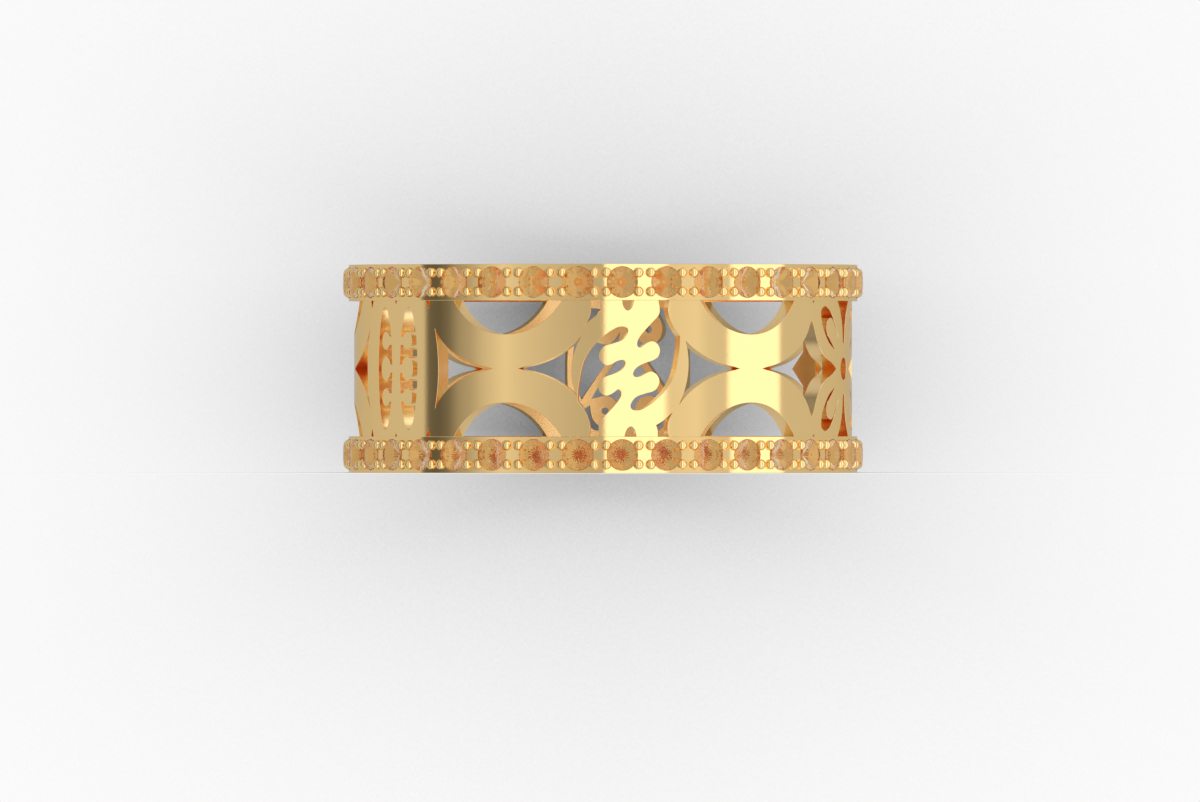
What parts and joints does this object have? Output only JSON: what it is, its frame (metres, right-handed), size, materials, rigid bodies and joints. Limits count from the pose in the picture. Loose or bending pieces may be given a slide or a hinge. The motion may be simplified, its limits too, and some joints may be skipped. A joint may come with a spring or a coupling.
{
  "type": "wide openwork gold ring with two stone rails",
  "caption": "Wide gold finger ring with pierced symbol panels and crescents between two rails of small orange-brown stones.",
  "frame": {"origin": "centre of the lower rail's flat face, on the finger axis, with the ring lying on its side", "axes": "+Z along the finger axis, upwards as the ring lies; -Y towards the side that shows in the picture"},
  "size_m": [0.0222, 0.0222, 0.0088],
  "materials": {
    "gold": "polished 18 carat gold",
    "stone": "faceted and polished"
  },
  "bodies": {
    "root": {"ring_band": "gold", "upper_stones": "stone", "lower_stones": "stone"}
  },
  "joints": []
}
